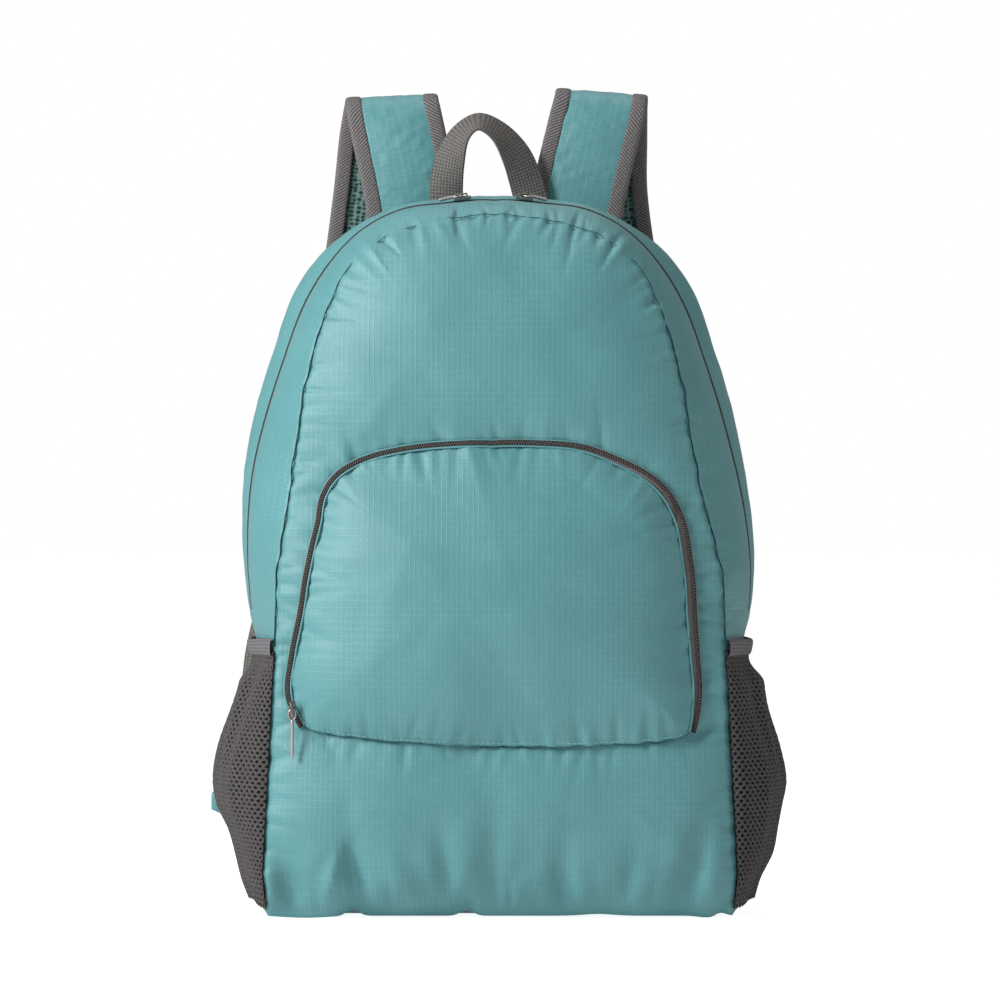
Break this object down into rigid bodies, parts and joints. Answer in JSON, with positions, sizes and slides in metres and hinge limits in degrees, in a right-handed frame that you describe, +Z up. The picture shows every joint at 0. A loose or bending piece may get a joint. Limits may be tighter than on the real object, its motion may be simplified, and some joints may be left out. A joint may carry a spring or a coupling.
{
  "type": "packable backpack",
  "caption": "Lightweight foldable backpack of ripstop cloth with a zipped main compartment, zipped front pocket, mesh side pockets, padded straps and a haul loop.",
  "frame": {"origin": "on the ground plane, on the base panel's flat under face, midway between the bag's sides and in the plane just behind the main zip", "axes": "+Z up, -Y to the front of the bag, +X to the viewer's right; the shoulder straps are at +Y"},
  "size_m": [0.3397, 0.1882, 0.4896],
  "materials": {
    "ripstop": "thin coated ripstop polyester, teal, with a fine square grid",
    "zip_tape": "dark grey coil zip on woven tape",
    "metal": "nickel-plated zinc",
    "pocket_mesh": "knitted polyester net, warm grey",
    "webbing": "ribbed polypropylene webbing, warm grey",
    "binding": "twill binding tape, warm grey",
    "air_mesh": "spacer mesh, teal grey",
    "buckle_plastic": "moulded acetal, dark grey"
  },
  "bodies": {
    "bag": {"front_panel": "ripstop", "back_panel": "ripstop", "front_band": "ripstop", "main_zipper": "zip_tape", "rear_band": "ripstop", "side_left": "ripstop", "side_right": "ripstop", "base_panel": "ripstop", "pocket_panel": "ripstop", "pocket_zipper": "zip_tape", "pocket_slider": "metal", "main_slider_left": "metal", "main_slider_right": "metal", "mesh_pocket_left": "pocket_mesh", "mesh_pocket_right": "pocket_mesh", "pocket_hem_left": "webbing", "pocket_hem_right": "webbing", "haul_loop": "webbing", "strap_left": "ripstop", "strap_right": "ripstop", "strap_lining_left": "air_mesh", "strap_lining_right": "air_mesh", "strap_binding_left_outer": "binding", "strap_binding_left_inner": "binding", "strap_binding_right_outer": "binding", "strap_binding_right_inner": "binding", "ladder_lock_left": "buckle_plastic", "ladder_lock_right": "buckle_plastic", "webbing_left": "webbing", "webbing_right": "webbing", "anchor_tab_left": "ripstop", "anchor_tab_right": "ripstop"},
    "pocket_pull": {"pocket_pull": "metal"},
    "main_pull_left": {"main_pull_left": "metal"},
    "main_pull_right": {"main_pull_right": "metal"}
  },
  "joints": [
    {"name": "pocket_pull_hinge", "type": "hinge", "parent": "bag", "child": "pocket_pull", "pos_m": [-0.1193, -0.07033, 0.12143], "axis": [-1, 0, 0], "range_deg": [0, 150]},
    {"name": "main_pull_left_hinge", "type": "hinge", "parent": "bag", "child": "main_pull_left", "pos_m": [-0.02237, -0.00797, 0.42073], "axis": [-0.0244, 0.9665, 0.2554], "range_deg": [0, 170]},
    {"name": "main_pull_right_hinge", "type": "hinge", "parent": "bag", "child": "main_pull_right", "pos_m": [0.01435, -0.00797, 0.42083], "axis": [-0.0232, -0.9666, -0.2551], "range_deg": [0, 170]}
  ]
}
